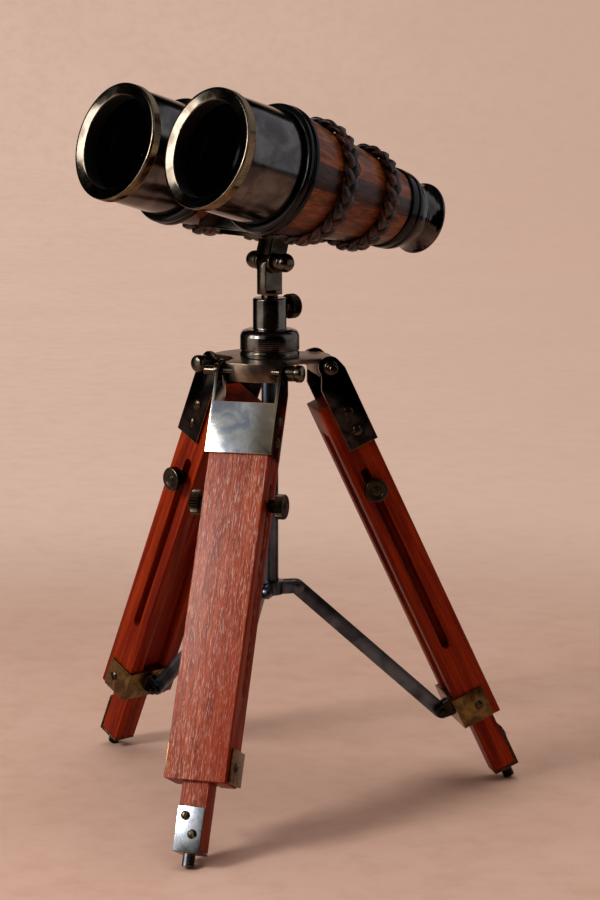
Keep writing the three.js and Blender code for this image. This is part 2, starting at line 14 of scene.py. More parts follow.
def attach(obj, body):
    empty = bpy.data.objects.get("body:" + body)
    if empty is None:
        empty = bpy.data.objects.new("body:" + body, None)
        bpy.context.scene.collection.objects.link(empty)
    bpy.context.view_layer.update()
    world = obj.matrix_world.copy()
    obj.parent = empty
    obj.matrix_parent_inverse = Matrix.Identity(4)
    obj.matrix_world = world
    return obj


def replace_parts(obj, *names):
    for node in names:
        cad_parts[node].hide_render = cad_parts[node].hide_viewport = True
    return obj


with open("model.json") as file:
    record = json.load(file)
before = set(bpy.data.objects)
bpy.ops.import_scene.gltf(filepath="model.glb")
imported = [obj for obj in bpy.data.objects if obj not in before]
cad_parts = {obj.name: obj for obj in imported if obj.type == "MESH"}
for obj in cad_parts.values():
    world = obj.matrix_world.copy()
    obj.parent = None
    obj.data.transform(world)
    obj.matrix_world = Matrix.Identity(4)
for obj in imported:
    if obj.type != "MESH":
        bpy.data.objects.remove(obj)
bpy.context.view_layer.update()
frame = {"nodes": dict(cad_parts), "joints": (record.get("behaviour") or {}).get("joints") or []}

MM = 0.001
JOINTS = {joint["name"]: joint for joint in frame["joints"]}
LEGS = (1, 2, 3)
SIDES = {"right": 1, "left": -1}

# sizes in millimetres that the looks share with the CAD part
EYE_SPACING = 64
LEG_HALF = 13.8
STRAP_FACE = 15.3        # outer face of the side straps, from the middle of the leg
FOOT_FACE = 3.5          # outer face of the foot plate, out from the hinge line
CLAMP_U, CLAMP_L = -5.4, 60
STEM_RADIUS = 13.6
PLATE_TOP = 206.6
BARREL_WAIST = 23.9      # the barrel's radius one millimetre ahead of its station 0
BARREL_TAPER = 0.142
CORDS = ((4.4, 9), (-26, 8.4))                  # station and width
BRACKET_SCREWS = ((1, -22.4), (1, -32))         # y and z in the leg's frame
STRAP_SCREW = (3.4, -177.4)                     # likewise
FOOT_SCREWS = ((-2.3, -200.4, 0.3), (1.9, -208.2, 1.2))     # x, z and the turn of the slot
RING_BORE = 21.5
STRAP_BACK = 14.3        # beyond this the lower strap's ears and pin stand out
STAVES = 15
STAVE_TURN = 21.44       # how far the staves are turned; whole ones keep their count above zero


# ---- frames of reference --------------------------------------------------------------

def axis_frame(origin, x, z):
    x, z = Vector(x).normalized(), Vector(z).normalized()
    place = Matrix((x, z.cross(x), z)).transposed().to_4x4()
    place.translation = Vector(origin)
    return place


def leg_frame(k):
    """x across the leg, -y outward, -z down along the leg, from the hinge."""
    hinge, slide = JOINTS[f"leg_fold_{k}"], JOINTS[f"leg_extend_{k}"]
    return axis_frame(hinge["pos_m"], hinge["axis"], -Vector(slide["axis"]))


STAND = Matrix.Translation((*JOINTS["swivel_turn"]["pos_m"][:2], 0))
LEG = {k: leg_frame(k) for k in LEGS}
RIGHTWARD = -Vector(JOINTS["tilt"]["axis"]).normalized()
FORWARD = -Vector(JOINTS["focus_slide"]["axis"]).normalized()
OPTIC_MIDDLE = Vector(JOINTS["focus_turn"]["pos_m"])
YOKE = axis_frame(JOINTS["tilt"]["pos_m"], RIGHTWARD, RIGHTWARD.cross(-FORWARD))
MIDDLE = axis_frame(OPTIC_MIDDLE, RIGHTWARD, FORWARD)
BARREL = {
    side: axis_frame(OPTIC_MIDDLE + RIGHTWARD * sign * EYE_SPACING / 2 * MM, RIGHTWARD, FORWARD)
    for side, sign in SIDES.items()
}
SWIVEL = axis_frame(STAND.translation, RIGHTWARD, (0, 0, 1))
LOCK_TURN = JOINTS["swivel_lock_turn"]
LOCK = axis_frame(LOCK_TURN["pos_m"], RIGHTWARD, LOCK_TURN["axis"])


def across_frame(place, along, y=0, z=0):
    """A frame whose z runs along +x or -x of another, set at (0, y, z) of it."""
    turn = Matrix(((0, 0, along), (0, 1, 0), (-along, 0, 0))).to_4x4()
    return place @ Matrix.Translation(Vector((0, y, z)) * MM) @ turn


# where the camera stands, in metres from the middle of the stand; its bearing, which the lights
# count from, is from -y towards +x
CAMERA_BEARING = math.radians(17.75)
BACKWARD = (-math.sin(CAMERA_BEARING), math.cos(CAMERA_BEARING), 0)
CAMERA_SPOT = (0.3775, -1.1794, 0.3784)
CAMERA_TURN = (math.radians(90 - 9.86), 0, math.radians(17.11))
CAMERA_LENS = 109.6


# ---- shader helpers -------------------------------------------------------------------

class Shade:
    """A material's node tree, built from short calls that return sockets."""

    def __init__(self, name):
        self.material = bpy.data.materials.new(name)
        self.material.use_nodes = True
        self.tree = self.material.node_tree
        self.tree.nodes.clear()
        self.surface = self.add("BsdfPrincipled")
        output = self.add("OutputMaterial")
        self.tree.links.new(self.surface.outputs[0], output.inputs["Surface"])
        self.coordinates = self.add("TexCoord")
        self.place = self.vector("SCALE", self.coordinates.outputs["Object"], scale=1000)

    def add(self, kind, **settings):
        node = self.tree.nodes.new("ShaderNode" + kind)
        for key, value in settings.items():
            setattr(node, key, value)
        return node

    def feed(self, node, key, value):
        if isinstance(value, bpy.types.NodeSocket):
            self.tree.links.new(value, node.inputs[key])
        else:
            node.inputs[key].default_value = value

    def vector(self, operation, a, b=None, scale=None):
        node = self.add("VectorMath", operation=operation)
        self.feed(node, 0, a)
        if b is not None:
            self.feed(node, 1, b)
        if scale is not None:
            self.feed(node, "Scale", scale)
        return node.outputs["Value" if operation == "DOT_PRODUCT" else 0]

    def math(self, operation, a, b=0.0, c=0.0):
        node = self.add("Math", operation=operation)
        for index, value in enumerate((a, b, c)):
            self.feed(node, index, value)
        return node.outputs[0]

    def times(self, a, b):
        return self.math("MULTIPLY", a, b)

    def radius(self):
        """Distance from the local z axis, in millimetres."""
        x, y, _ = self.parts(self.place)
        return self.math("SQRT", self.math("ADD", self.times(x, x), self.times(y, y)))

    def parts(self, vector):
        node = self.add("SeparateXYZ")
        self.feed(node, 0, vector)
        return node.outputs

    def join(self, x, y, z):
        node = self.add("CombineXYZ")
        for index, value in enumerate((x, y, z)):
            self.feed(node, index, value)
        return node.outputs[0]

    def noise(self, scale, stretch=(1, 1, 1), detail=4.0, roughness=0.55, distortion=0.0,
              vector=None):
        node = self.add("TexNoise")
        source = self.place if vector is None else vector
        self.feed(node, "Vector", self.vector("MULTIPLY", source, stretch))
        self.feed(node, "Scale", scale)
        self.feed(node, "Detail", detail)
        self.feed(node, "Roughness", roughness)
        self.feed(node, "Distortion", distortion)
        return node.outputs[0]

    def ramp(self, value, low, high, invert=False):
        """0 below low and 1 above high, with a smooth step between."""
        node = self.add("MapRange", interpolation_type="SMOOTHSTEP")
        self.feed(node, "Value", value)
        self.feed(node, "From Min", low)
        self.feed(node, "From Max", high)
        self.feed(node, "To Min", 1.0 if invert else 0.0)
        self.feed(node, "To Max", 0.0 if invert else 1.0)
        return node.outputs[0]

    def mix(self, factor, a, b):
        node = self.add("Mix", data_type="RGBA")
        self.feed(node, 0, factor)
        self.feed(node, 6, colour(a))
        self.feed(node, 7, colour(b))
        return node.outputs[2]

    def edges(self, radius):
        """1 on convex and concave edges, 0 on flat faces; radius in millimetres."""
        bevel = self.add("Bevel", samples=4)
        self.feed(bevel, "Radius", radius * MM)
        geometry = self.add("NewGeometry")
        alike = self.vector("DOT_PRODUCT", bevel.outputs[0], geometry.outputs["Normal"])
        return self.ramp(alike, 0.9, 0.995, invert=True)

    def bump(self, height, distance, strength=1.0, normal=None):
        node = self.add("Bump")
        self.feed(node, "Height", height)
        self.feed(node, "Distance", distance * MM)
        self.feed(node, "Strength", strength)
        if normal is not None:
            self.feed(node, "Normal", normal)
        return node.outputs[0]

    def finish(self, **inputs):
        names = {
            "base": "Base Color", "metal": "Metallic", "rough": "Roughness", "normal": "Normal",
            "coat": "Coat Weight", "coat_rough": "Coat Roughness", "specular": "Specular IOR Level",
        }
        for key, value in inputs.items():
            self.feed(self.surface, names[key], colour(value) if key == "base" else value)
        return self.material


def colour(value):
    """A socket as it is, or sRGB hex text as the linear colour a node holds."""
    if not isinstance(value, str):
        return value
    channels = [int(value[i:i + 2], 16) / 255 for i in (0, 2, 4)]
    linear = [c / 12.92 if c <= 0.04045 else ((c + 0.055) / 1.055) ** 2.4 for c in channels]
    return (*linear, 1.0)


# ---- materials ------------------------------------------------------------------------

def patinated_metal(name, dark, light, worn, rough, edge=0.35, blotch=0.09, wear=1.0,
                    lines=None, bores=None, behind=None):
    """Aged polished metal: cloudy patina, small spots, hair scratches and lighter worn edges.

    lines is the pitch of turned lines, bores a radius within which the piece is matt black, and
    behind a y beyond which it is blackened.
    """
    s = Shade(name)
    clouds = s.noise(blotch, detail=6, distortion=0.5)
    spots = s.ramp(s.noise(0.9, detail=3), 0.62, 0.74)
    scratches = s.noise(1.1, stretch=(0.35, 4, 9), detail=3)
    base = s.mix(s.ramp(clouds, 0.36, 0.66), dark, light)
    base = s.mix(s.times(spots, 0.4), base, dark)
    ragged = s.times(s.edges(edge), s.ramp(s.noise(0.5, detail=5), 0.25, 0.6))
    base = s.mix(s.times(ragged, wear), base, worn)
    roughness = s.math("MULTIPLY_ADD", clouds, 0.16, rough - 0.07)
    roughness = s.math("MULTIPLY_ADD", s.ramp(scratches, 0.55, 0.7), 0.06, roughness)
    normal = s.bump(scratches, 0.01, 0.2)
    if lines:
        turned = s.math("SINE", s.times(s.parts(s.place)[2], math.tau / lines))
        normal = s.bump(turned, 0.02, 0.35, normal)
    metal = 1.0
    if bores:
        inside = s.math("LESS_THAN", s.radius(), bores)
        base = s.mix(inside, base, "050505")
        metal = s.math("SUBTRACT", 1.0, inside)
        roughness = s.math("MULTIPLY_ADD", inside, 0.5, roughness)
    if behind:
        base = s.mix(s.math("GREATER_THAN", s.parts(s.place)[1], behind), base, "262421")
    return s.finish(base=base, metal=metal, rough=roughness, normal=normal)


def silvered_plate(name, dull, bright, gloss):
    """Worn silvering on the outer face, with yellow edges; the other sides are blackened."""
    s = Shade(name)
    front = s.ramp(s.parts(s.coordinates.outputs["Normal"])[1], -0.75, -0.95)
    x_place = s.parts(s.place)[0]
    clouds = s.noise(0.13, detail=6, distortion=0.8)
    tarnish = s.noise(0.35, detail=5)
    silver = s.mix(s.ramp(clouds, 0.34, 0.66), dull, bright)
    silver = s.mix(s.times(s.ramp(tarnish, 0.5, 0.68), 0.4), silver, "7c6f55")
    silver = s.mix(s.times(s.ramp(x_place, 0.0, LEG_HALF * 0.8), 0.85), silver, "54442f")
    black = s.mix(s.ramp(clouds, 0.4, 0.66), "151517", "322f2c")
    base = s.mix(front, black, silver)
    rim = s.times(s.edges(0.6), s.ramp(s.noise(0.6, detail=5), 0.2, 0.5))
    base = s.mix(rim, base, s.mix(front, "93733c", "b08a4c"))
    rough = s.math("MULTIPLY_ADD", tarnish, 0.2, gloss)
    return s.finish(base=base, metal=1.0, rough=rough, normal=s.bump(tarnish, 0.01, 0.3))


def lacquered_mahogany(name):
    """Red-brown wood with grain down the leg, open pores and a thin coat of lacquer."""
    s = Shade(name)
    bands = s.noise(0.28, stretch=(1, 1, 0.05), detail=5, distortion=0.8)
    streaks = s.noise(1.6, stretch=(1, 1, 0.035), detail=7, roughness=0.65)
    pores = s.ramp(s.noise(3.4, stretch=(1, 1, 0.08), detail=3, roughness=0.6), 0.54, 0.65)
    side = s.mix(s.ramp(bands, 0.35, 0.68), "6c1503", "9c3106")
    side = s.mix(s.times(s.ramp(streaks, 0.42, 0.72), 0.5), side, "400a02")
    # Painted sheen: the outward face gets lighter, pinker colours than the sides, standing in for
    # the key light's haze on the lacquer.
    facing = s.parts(s.coordinates.outputs["Normal"])[1]
    front = s.ramp(facing, -0.6, -0.85)
    face = s.mix(s.ramp(bands, 0.35, 0.68), "954028", "b25837")
    face = s.mix(s.times(s.ramp(streaks, 0.44, 0.62), 0.7), face, "4c1a10")
    base = s.mix(front, side, face)
    across, _, along = s.parts(s.place)
    # A patch low on the right of the outward face: more orange, and with less of the painted glare
    # below.
    patch = s.times(s.ramp(across, -4.0, 11.0), s.ramp(along, -60.0, -165.0))
    base = s.mix(s.times(s.times(patch, front), 0.65), base, "8a2f12")
    glare_share = s.math("SUBTRACT", 1.0, s.times(patch, 0.6))
    # Painted highlight: the open pores, mostly on the outward face, are painted whitish as glare of
    # the key light on the lacquer.
    glare = s.times(s.times(pores, glare_share), s.math("MULTIPLY_ADD", front, 0.5, 0.02))
    base = s.mix(glare, base, "e2c6b8")
    base = s.mix(s.times(s.edges(0.4), 0.25), base, "96481f")
    height = s.math("SUBTRACT", s.times(streaks, 0.35), pores)
    normal = s.bump(height, 0.05, 0.6)
    rough = s.math("MULTIPLY_ADD", streaks, 0.2, 0.3)
    gloss = s.math("MULTIPLY_ADD", front, 0.09, 0.06)
    return s.finish(base=base, rough=rough, normal=normal, specular=gloss,
                    coat=0.025, coat_rough=0.15)


def inlaid_staves(name):
    """Staves along the barrel, two orange-brown ones and a dark one in turn, with fine grain."""
    s = Shade(name)
    x, y, z = s.parts(s.place)
    angle = s.math("DIVIDE", s.math("ARCTAN2", y, x), math.tau / STAVES)
    wobble = s.times(s.noise(0.05, stretch=(0.2, 0.2, 1), detail=2), 0.12)
    turn = s.math("ADD", s.math("ADD", angle, wobble), STAVE_TURN)
    within = s.math("FRACT", turn)
    plain = s.math("MINIMUM", s.math("MODULO", s.math("FLOOR", turn), 3.0), 1.0)
    around = s.times(angle, 9.0)
    run = s.join(around, s.math("FLOOR", turn), z)
    grain = s.noise(0.9, stretch=(1.8, 5, 0.16), detail=7, roughness=0.62, distortion=0.5,
                    vector=run)
    figure = s.noise(0.22, stretch=(1, 7, 0.25), detail=4, distortion=1.2, vector=run)
    fine = s.noise(3.2, stretch=(2.2, 5, 0.1), detail=3, vector=run)
    warm = s.mix(s.ramp(figure, 0.35, 0.66), "662d0c", "ac5c1e")
    warm = s.mix(s.times(s.ramp(grain, 0.46, 0.64), 0.7), warm, "3a1808")
    cool = s.mix(s.ramp(figure, 0.35, 0.66), "2c170c", "573019")
    cool = s.mix(s.times(s.ramp(grain, 0.46, 0.62), 0.8), cool, "130a07")
    base = s.mix(plain, cool, warm)
    tone = s.noise(1.0, vector=s.join(s.times(s.math("FLOOR", turn), 3.7), 0.5, 0.5))
    base = s.mix(s.times(s.ramp(tone, 0.35, 0.65), 0.55), base, "2a130a")
    base = s.mix(s.times(s.ramp(fine, 0.5, 0.64), 0.45), base, "1d0d06")
    seam = s.math("MINIMUM", within, s.math("SUBTRACT", 1.0, within))
    joint = s.ramp(seam, 0.0, 0.035, invert=True)
    base = s.mix(s.times(joint, 0.5), base, "120804")
    height = s.math("SUBTRACT", s.times(grain, 0.4), joint)
    normal = s.bump(height, 0.06, 0.5)
    rough = s.math("MULTIPLY_ADD", grain, 0.25, 0.28)
    return s.finish(base=base, rough=rough, normal=normal, specular=0.3, coat=0.14, coat_rough=0.2)


def plaited_leather(name):
    s = Shade(name)
    clouds = s.noise(0.35, detail=5)
    pebble = s.noise(2.4, detail=6, roughness=0.7)
    base = s.mix(s.ramp(clouds, 0.35, 0.65), "0e0705", "26150e")
    # Lighter patches, partly rubbed leather and partly a painted highlight standing in for the
    # sheen on the laces.
    patch = s.times(s.ramp(s.noise(0.2, detail=3), 0.46, 0.62), s.ramp(pebble, 0.42, 0.6))
    base = s.mix(s.times(patch, 0.75), base, "743f28")
    normal = s.bump(pebble, 0.12, 0.6)
    rough = s.math("MULTIPLY_ADD", pebble, 0.3, 0.2)
    return s.finish(base=base, rough=rough, normal=normal, specular=0.35)


def black_lacquer(name):
    s = Shade(name)
    dust = s.noise(0.7, detail=6)
    haze = s.noise(0.06, detail=3)
    base = s.mix(s.ramp(haze, 0.4, 0.65), "030303", "0b0a09")
    base = s.mix(s.times(s.edges(0.25), 0.25), base, "3c3026")
    rough = s.math("MULTIPLY_ADD", dust, 0.14, 0.1)
    return s.finish(base=base, rough=rough, normal=s.bump(dust, 0.01, 0.2), specular=0.22)


def glass_painted_dark(name):
    s = Shade(name)
    smear = s.noise(0.12, stretch=(1, 2.5, 1), detail=5)
    dust = s.ramp(s.noise(1.4, detail=2), 0.76, 0.82)
    # Painted shade: the glass is drawn opaque and near black, standing in for the dark inside of
    # the barrel seen through it; the lighter specks are dust.
    base = s.mix(s.times(dust, 0.2), "010101", "3a4048")
    rough = s.math("MULTIPLY_ADD", smear, 0.06, 0.02)
    return s.finish(base=base, rough=rough, specular=0.02, normal=s.bump(dust, 0.004, 0.4))


def studio_paper(name):
    """Pale paper lit like the rest near the part; further off it glows as a lit sweep does.

    Mirror rays see that glow only behind the part; elsewhere they see far paper as dark.
    """
    s = Shade(name)
    z = s.parts(s.place)[2]
    reach = s.radius()
    mottle = s.noise(0.0045, detail=6, roughness=0.6)
    near = s.mix(s.ramp(mottle, 0.35, 0.7), "c8a491", "d1ad9c")
    # Painted light: the glow is slightly darker higher up the wall.
    far = s.mix(s.ramp(z, 0.0, 900.0), "d4b3a0", "cdac9f")
    far = s.mix(s.times(s.ramp(mottle, 0.35, 0.7), 0.5), far, "dabaa8")
    weave = s.noise(0.05, stretch=(1, 1, 0.3), detail=4, roughness=0.65)
    far = s.mix(s.times(s.ramp(weave, 0.4, 0.7), 0.3), far, "c4a190")
    near = s.mix(s.times(s.ramp(weave, 0.4, 0.7), 0.3), near, "b8917e")
    path = s.add("LightPath").outputs
    away = s.ramp(reach, 230.0, 760.0)
    aside = s.vector("DOT_PRODUCT", s.place, (BACKWARD[1], -BACKWARD[0], 0))
    # Painted shade: the glow darkens towards the camera's right, away from the key light on the
    # left.
    far = s.mix(s.times(s.ramp(aside, -500.0, 700.0), 0.75), far, "c3a08e")
    behind = s.vector("DOT_PRODUCT", s.vector("NORMALIZE", s.place), BACKWARD)
    mirrored = s.times(path["Is Glossy Ray"], s.ramp(behind, 0.86, 0.94))
    glow = s.times(away, s.math("MAXIMUM", path["Is Camera Ray"], mirrored))
    unlit = s.times(path["Is Glossy Ray"], s.ramp(reach, 700.0, 1100.0))
    seen = s.math("SUBTRACT", 1.0, s.math("MAXIMUM", glow, unlit))
    s.feed(s.surface, "Emission Color", far)
    s.feed(s.surface, "Emission Strength", glow)
    return s.finish(base=s.mix(seen, "060505", near), rough=0.9, specular=0.1)


GUNMETAL = patinated_metal("gunmetal", "4d4a48", "6f6a66", "a08a62", 0.15, wear=0.6)
DARK_GUNMETAL = patinated_metal("dark_gunmetal", "403d3b", "5e5a56", "a08a62", 0.12, wear=0.6)
DARK_BRONZE = patinated_metal("dark_bronze", "2a241e", "43392d", "a98d5c", 0.2, wear=0.8)
BRONZE = patinated_metal("bronze", "463e36", "675c4e", "a98d5c", 0.18, wear=0.8)
HEAD_BRONZE = patinated_metal("head_bronze", "5c4c40", "7d6a5a", "a98d5c", 0.3, wear=0.7)
BRASS = patinated_metal("aged_brass", "4c3c26", "80683f", "c09650", 0.27, blotch=0.16, wear=0.7,
                        behind=STRAP_BACK)
RING_BRASS = patinated_metal("ring_brass", "54473a", "75695a", "b3914e", 0.1, blotch=0.1,
                             bores=RING_BORE)
SILVERED = silvered_plate("silvered", "747984", "9d9d99", 0.05)
FOOT_SILVER = silvered_plate("foot_silver", "9da2ac", "bfc3c7", 0.12)
STEEL = patinated_metal("blued_steel", "3c4148", "626a75", "8a7458", 0.3, blotch=0.07)
KNOB_STEEL = patinated_metal("knob_steel", "2b2620", "4a4034", "8a7048", 0.28, edge=0.25, wear=0.6)
MAHOGANY = lacquered_mahogany("mahogany")
STAVE_WOOD = inlaid_staves("inlaid_staves")
LEATHER = plaited_leather("plaited_leather")
LACQUER = black_lacquer("black_lacquer")
GLASS = glass_painted_dark("glass_painted_dark")
DRUM_BRONZE = patinated_metal("drum_bronze", "4a4642", "6d655c", "a8905f", 0.17, lines=0.9)
PAPER = studio_paper("studio_paper")


# ---- mesh helpers ---------------------------------------------------------------------

def add_object(name, bm, place, body, material, sharp=35):
    """Turns a bmesh drawn in millimetres into a piece that rides on a body."""
    bmesh.ops.recalc_face_normals(bm, faces=bm.faces)
    mesh = bpy.data.meshes.new(name)
    bm.to_mesh(mesh)
    bm.free()
    mesh.transform(Matrix.Scale(MM, 4))
    mesh.polygons.foreach_set("use_smooth", [True] * len(mesh.polygons))
    mesh.set_sharp_from_angle(angle=math.radians(sharp))
    mesh.materials.append(material)
    piece = bpy.data.objects.new(name, mesh)
    bpy.context.scene.collection.objects.link(piece)
    piece.matrix_world = place
    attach(piece, body)
    return piece


def circle(radius, count):
    """Evenly spaced points on a circle round the origin."""
    angles = [math.tau * i / count for i in range(count)]
    return [(radius * math.cos(angle), radius * math.sin(angle)) for angle in angles]


def rounded(points, radius, steps=3):
    """The outline with each corner turned into a short arc. Closed unless it ends on the axis."""
    open_ended = points[0][0] == 0 and points[-1][0] == 0
    count = len(points)
    result = []
    for i, point in enumerate(points):
        if open_ended and i in (0, count - 1):
            result.append(point)
            continue
        here = Vector(point)
        before, after = Vector(points[i - 1]) - here, Vector(points[(i + 1) % count]) - here
        reach = min(radius, before.length * 0.45, after.length * 0.45)
        start, end = here + before.normalized() * reach, here + after.normalized() * reach
        for step in range(steps + 1):
            t = step / steps
            result.append(tuple(start * (1 - t) ** 2 + here * 2 * t * (1 - t) + end * t ** 2))
    return result


def spin(bm, profile, segments, teeth=0, toothed=None, depth=0.0):
    """A turned solid about z. Rings whose z lies in toothed get a milled edge of teeth."""
    count = teeth * 4 if teeth else segments
    closed = not (profile[0][0] == 0 and profile[-1][0] == 0)
    rings = []
    for r, z in profile:
        if r == 0:
            rings.append([bm.verts.new((0, 0, z))])
            continue
        ring = []
        for i in range(count):
            angle = math.tau * i / count
            radius = r
            if teeth and toothed[0] <= z <= toothed[1] and r >= toothed[2]:
                radius -= depth * (0, 0.5, 1, 0.5)[i % 4]
            ring.append(bm.verts.new((radius * math.cos(angle), radius * math.sin(angle), z)))
        rings.append(ring)
    pairs = list(zip(rings, rings[1:]))
    if closed:
        pairs.append((rings[-1], rings[0]))
    for low, high in pairs:
        for i in range(count):
            j = (i + 1) % count
            corners = [low[i % len(low)], low[j % len(low)],
                       high[j % len(high)], high[i % len(high)]]
            face = list(dict.fromkeys(corners))
            if len(face) > 2:
                bm.faces.new(face)


def turned(name, profile, place, body, material, fillet, segments, replaced, slot, **milled):
    """A turned piece that stands in for a CAD node; milled is passed on to spin."""
    bm = bmesh.new()
    spin(bm, rounded(profile, fillet), segments, **milled)
    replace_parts(add_object(name, bm, place, body, material), replaced)


def shaped(node, body, place, material, bevel):
    """The CAD node's own shape, edges eased, in a local frame so that grain can run along it."""
    mesh = frame["nodes"][node].data.copy()
    mesh.transform(Matrix.Scale(1 / MM, 4) @ place.inverted())
    bm = bmesh.new()
    bm.from_mesh(mesh)
    bmesh.ops.remove_doubles(bm, verts=bm.verts, dist=0.002)
    bmesh.ops.dissolve_limit(bm, angle_limit=math.radians(0.5), verts=bm.verts, edges=bm.edges)
    sharp = [e for e in bm.edges
             if len(e.link_faces) == 2 and e.calc_face_angle(0) > math.radians(38)]
    bmesh.ops.bevel(bm, geom=sharp, offset=bevel, segments=2, profile=0.6, affect="EDGES",
                    clamp_overlap=True)
    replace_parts(add_object(f"{node}_shaped", bm, place, body, material), node)


# ---- the glasses ----------------------------------------------------------------------

def barrel_radius(station):
    return BARREL_WAIST + (station - 1) * BARREL_TAPER


def build_optics(side):
    place, wide = BARREL[side], 128
    wall, front, middle, back = 3, barrel_radius(25.6), barrel_radius(-10), barrel_radius(-42)
    turned(f"staved_barrel_{side}", [
        (25.7, 28.4), (25.7, 25.8), (front, 25.6), (middle, -10), (back, -42), (back - wall, -42),
        (middle - wall, -10), (front - wall, 25.6), (front - wall, 28.4),
    ], place, "glasses", STAVE_WOOD, 0.25, wide, f"barrel_{side}", "inlaid_wood")
    turned(f"black_flange_{side}", [
        (26.1, 25.9), (28.5, 25.9), (29.1, 26.5), (29.1, 27.9), (28.8, 28.4), (28.2, 28.7),
        (28.2, 29.2), (28.9, 29.7), (28.9, 31), (28.3, 31.9), (27.3, 32.3), (26.1, 32.4),
    ], place, "glasses", LACQUER, 0.35, wide, f"barrel_flange_{side}", "black_lacquer")
    turned(f"front_tube_{side}", [(25.8, 61), (25.8, 29), (24.2, 29), (24.2, 61)],
           place, "glasses", GUNMETAL, 0.2, wide, f"objective_tube_{side}", "gunmetal")
    turned(f"milled_ring_{side}", [
        (25.9, 61.3), (26.5, 61.5), (26.8, 61.9), (26.8, 65.3), (26.55, 65.5), (26.75, 65.75),
        (26.7, 66.2), (26.3, 66.45), (25.6, 66.45), (22.2, 65.75), (21.6, 65.6), (21.35, 65.3),
        (21.3, 58.4), (23.9, 58.4), (23.9, 61.3),
    ], place, "glasses", RING_BRASS, 0.15, 0, f"objective_ring_{side}", "aged_brass",
        teeth=200, toothed=(61.7, 65.35, 26.7), depth=0.22)
    turned(f"front_glass_{side}", [
        (0, 54.4), (23.8, 54.4), (23.8, 57.3), (20, 58), (16, 58.6), (12, 59), (8, 59.3),
        (4, 59.45), (0, 59.5),
    ], place, "glasses", GLASS, 0.1, wide, f"objective_lens_{side}", "lens_glass")
    turned(f"black_collar_{side}", [
        (14.3, -42.3), (18.1, -42.3), (18.6, -43), (18.6, -45.8), (18.1, -46.4), (17.8, -46.7),
        (17.8, -47.3), (18.3, -47.9), (18.1, -49.4), (17.5, -51.2), (16.5, -52.2), (14.3, -52.2),
    ], place, "glasses", LACQUER, 0.3, wide, f"eyepiece_collar_{side}", "black_lacquer")
    turned(f"turned_eyecup_{side}", [
        (13.9, -38), (13.9, -55.2), (14.7, -55.5), (15, -56.2), (15, -57.2), (14.5, -57.9),
        (13.9, -58.6), (14.1, -60), (14.6, -61.7), (15.4, -63.6), (16.2, -64.6), (16.45, -65.2),
        (16.3, -65.9), (15.7, -66.25), (15, -66), (14, -64.6), (12.7, -62), (11.8, -59.8),
        (11.5, -58.6), (12.2, -57.6), (12.2, -38),
    ], place, "eyepieces", DARK_GUNMETAL, 0.3, wide, f"eyecup_{side}", "gunmetal")
    turned(f"eye_glass_{side}", [
        (0, -52.5), (11.9, -52.5), (11.9, -54.8), (9.5, -55.6), (7, -56.2), (3.5, -56.7),
        (0, -56.8),
    ], place, "eyepieces", GLASS, 0.1, 64, f"eye_lens_{side}", "lens_glass")


def strand_section(width, thick, points=8):
    """A flattened oval with full sides, as a leather lace has."""
    def fuller(value):
        return math.copysign(abs(value) ** 0.7, value)

    return [(width / 2 * fuller(x), thick / 2 * fuller(y)) for x, y in circle(1, points)]


def plait(name, node, side, station, width, crossings=7):
    """Three laces plaited round a barrel; each one weaves over and under the other two."""
    bm = bmesh.new()
    steps = crossings * 20
    core, thick = barrel_radius(station) + 2.1, 2.3
    section = strand_section(width * 0.5, thick)
    swing, lift = width / 2 - width * 0.21, 1.1
    for strand in range(3):
        shift = math.tau * strand / 3

        def centre(step):
            angle = math.tau * step / steps
            phase = crossings * angle + shift
            r = core + lift * math.sin(2 * phase)
            z = station + swing * math.sin(phase)
            r += (z - station) * BARREL_TAPER
            return Vector((r * math.cos(angle), r * math.sin(angle), z))

        rings = []
        for step in range(steps):
            angle = math.tau * step / steps
            along = (centre(step + 1) - centre(step - 1)).normalized()
            out = Vector((math.cos(angle), math.sin(angle), 0))
            across = along.cross(out).normalized()
            out = across.cross(along).normalized()
            here = centre(step)
            rings.append([bm.verts.new(here + across * a + out * b) for a, b in section])
        for i in range(steps):
            low, high = rings[i], rings[(i + 1) % steps]
            for a in range(len(section)):
                b = (a + 1) % len(section)
                bm.faces.new((low[a], low[b], high[b], high[a]))
    piece = add_object(name, bm, BARREL[side], "glasses", LEATHER, sharp=75)
    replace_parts(piece, node)


def knurled_knob(name, body, place, profile, toothed, replaced):
    """A turned knob whose rim is cut into teeth."""
    turned(name, profile, place, body, KNOB_STEEL, 0.25, 0, replaced, "knob_steel",
           teeth=28, toothed=toothed, depth=0.9)


